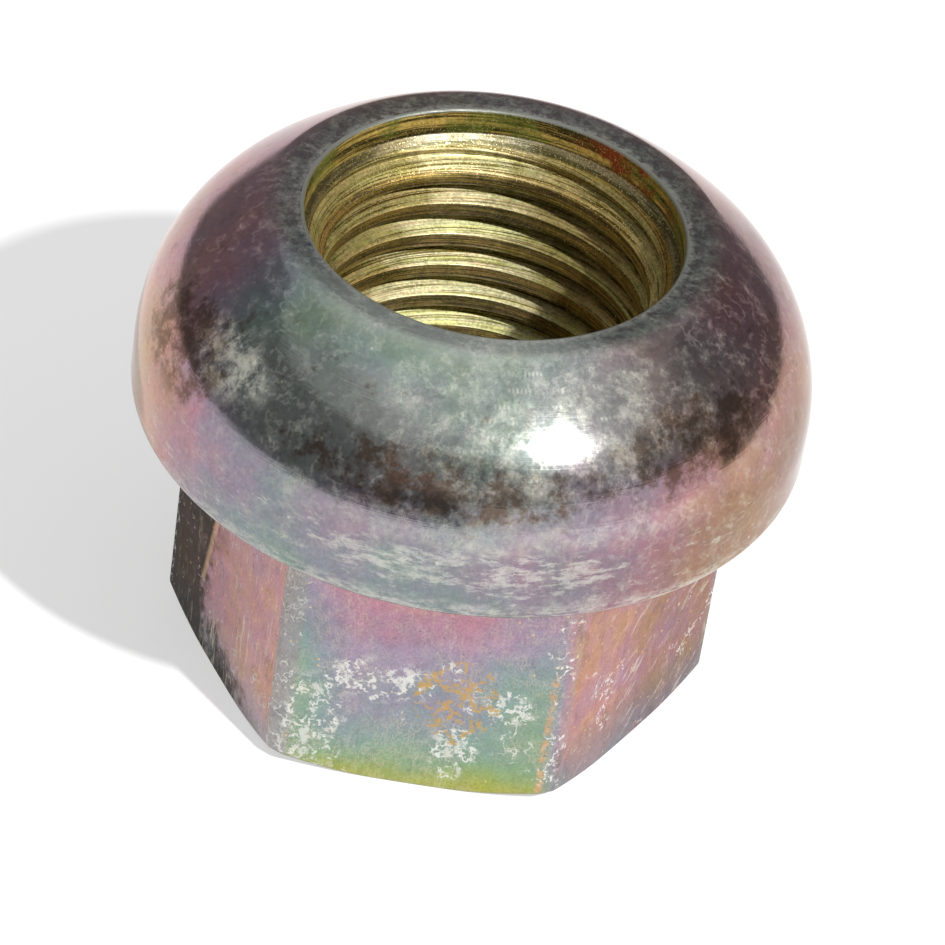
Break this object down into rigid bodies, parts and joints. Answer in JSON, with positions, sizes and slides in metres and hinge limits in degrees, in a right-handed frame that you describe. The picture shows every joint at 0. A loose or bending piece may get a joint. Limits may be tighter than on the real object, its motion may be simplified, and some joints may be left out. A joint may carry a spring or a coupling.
{
  "type": "ball seat lug nut",
  "caption": "Hexagonal wheel nut with a collar and a convex ball seat, threaded through, in yellow passivated zinc.",
  "frame": {"origin": "centre of the hexagon's flat end face, on the thread's axis, which is also the bottom of the part as it stands", "axes": "+Z along the thread's axis, from the hexagon's end face towards the ball seat; +X through a corner of the hexagon; +Y square to a flat of the hexagon"},
  "size_m": [0.0264, 0.0264, 0.0205],
  "materials": {
    "zinc_steel": "forged and turned steel with an iridescent yellow passivated zinc plating, scuffed at the edges"
  },
  "bodies": {
    "root": {"lug_nut": "zinc_steel"}
  },
  "joints": []
}
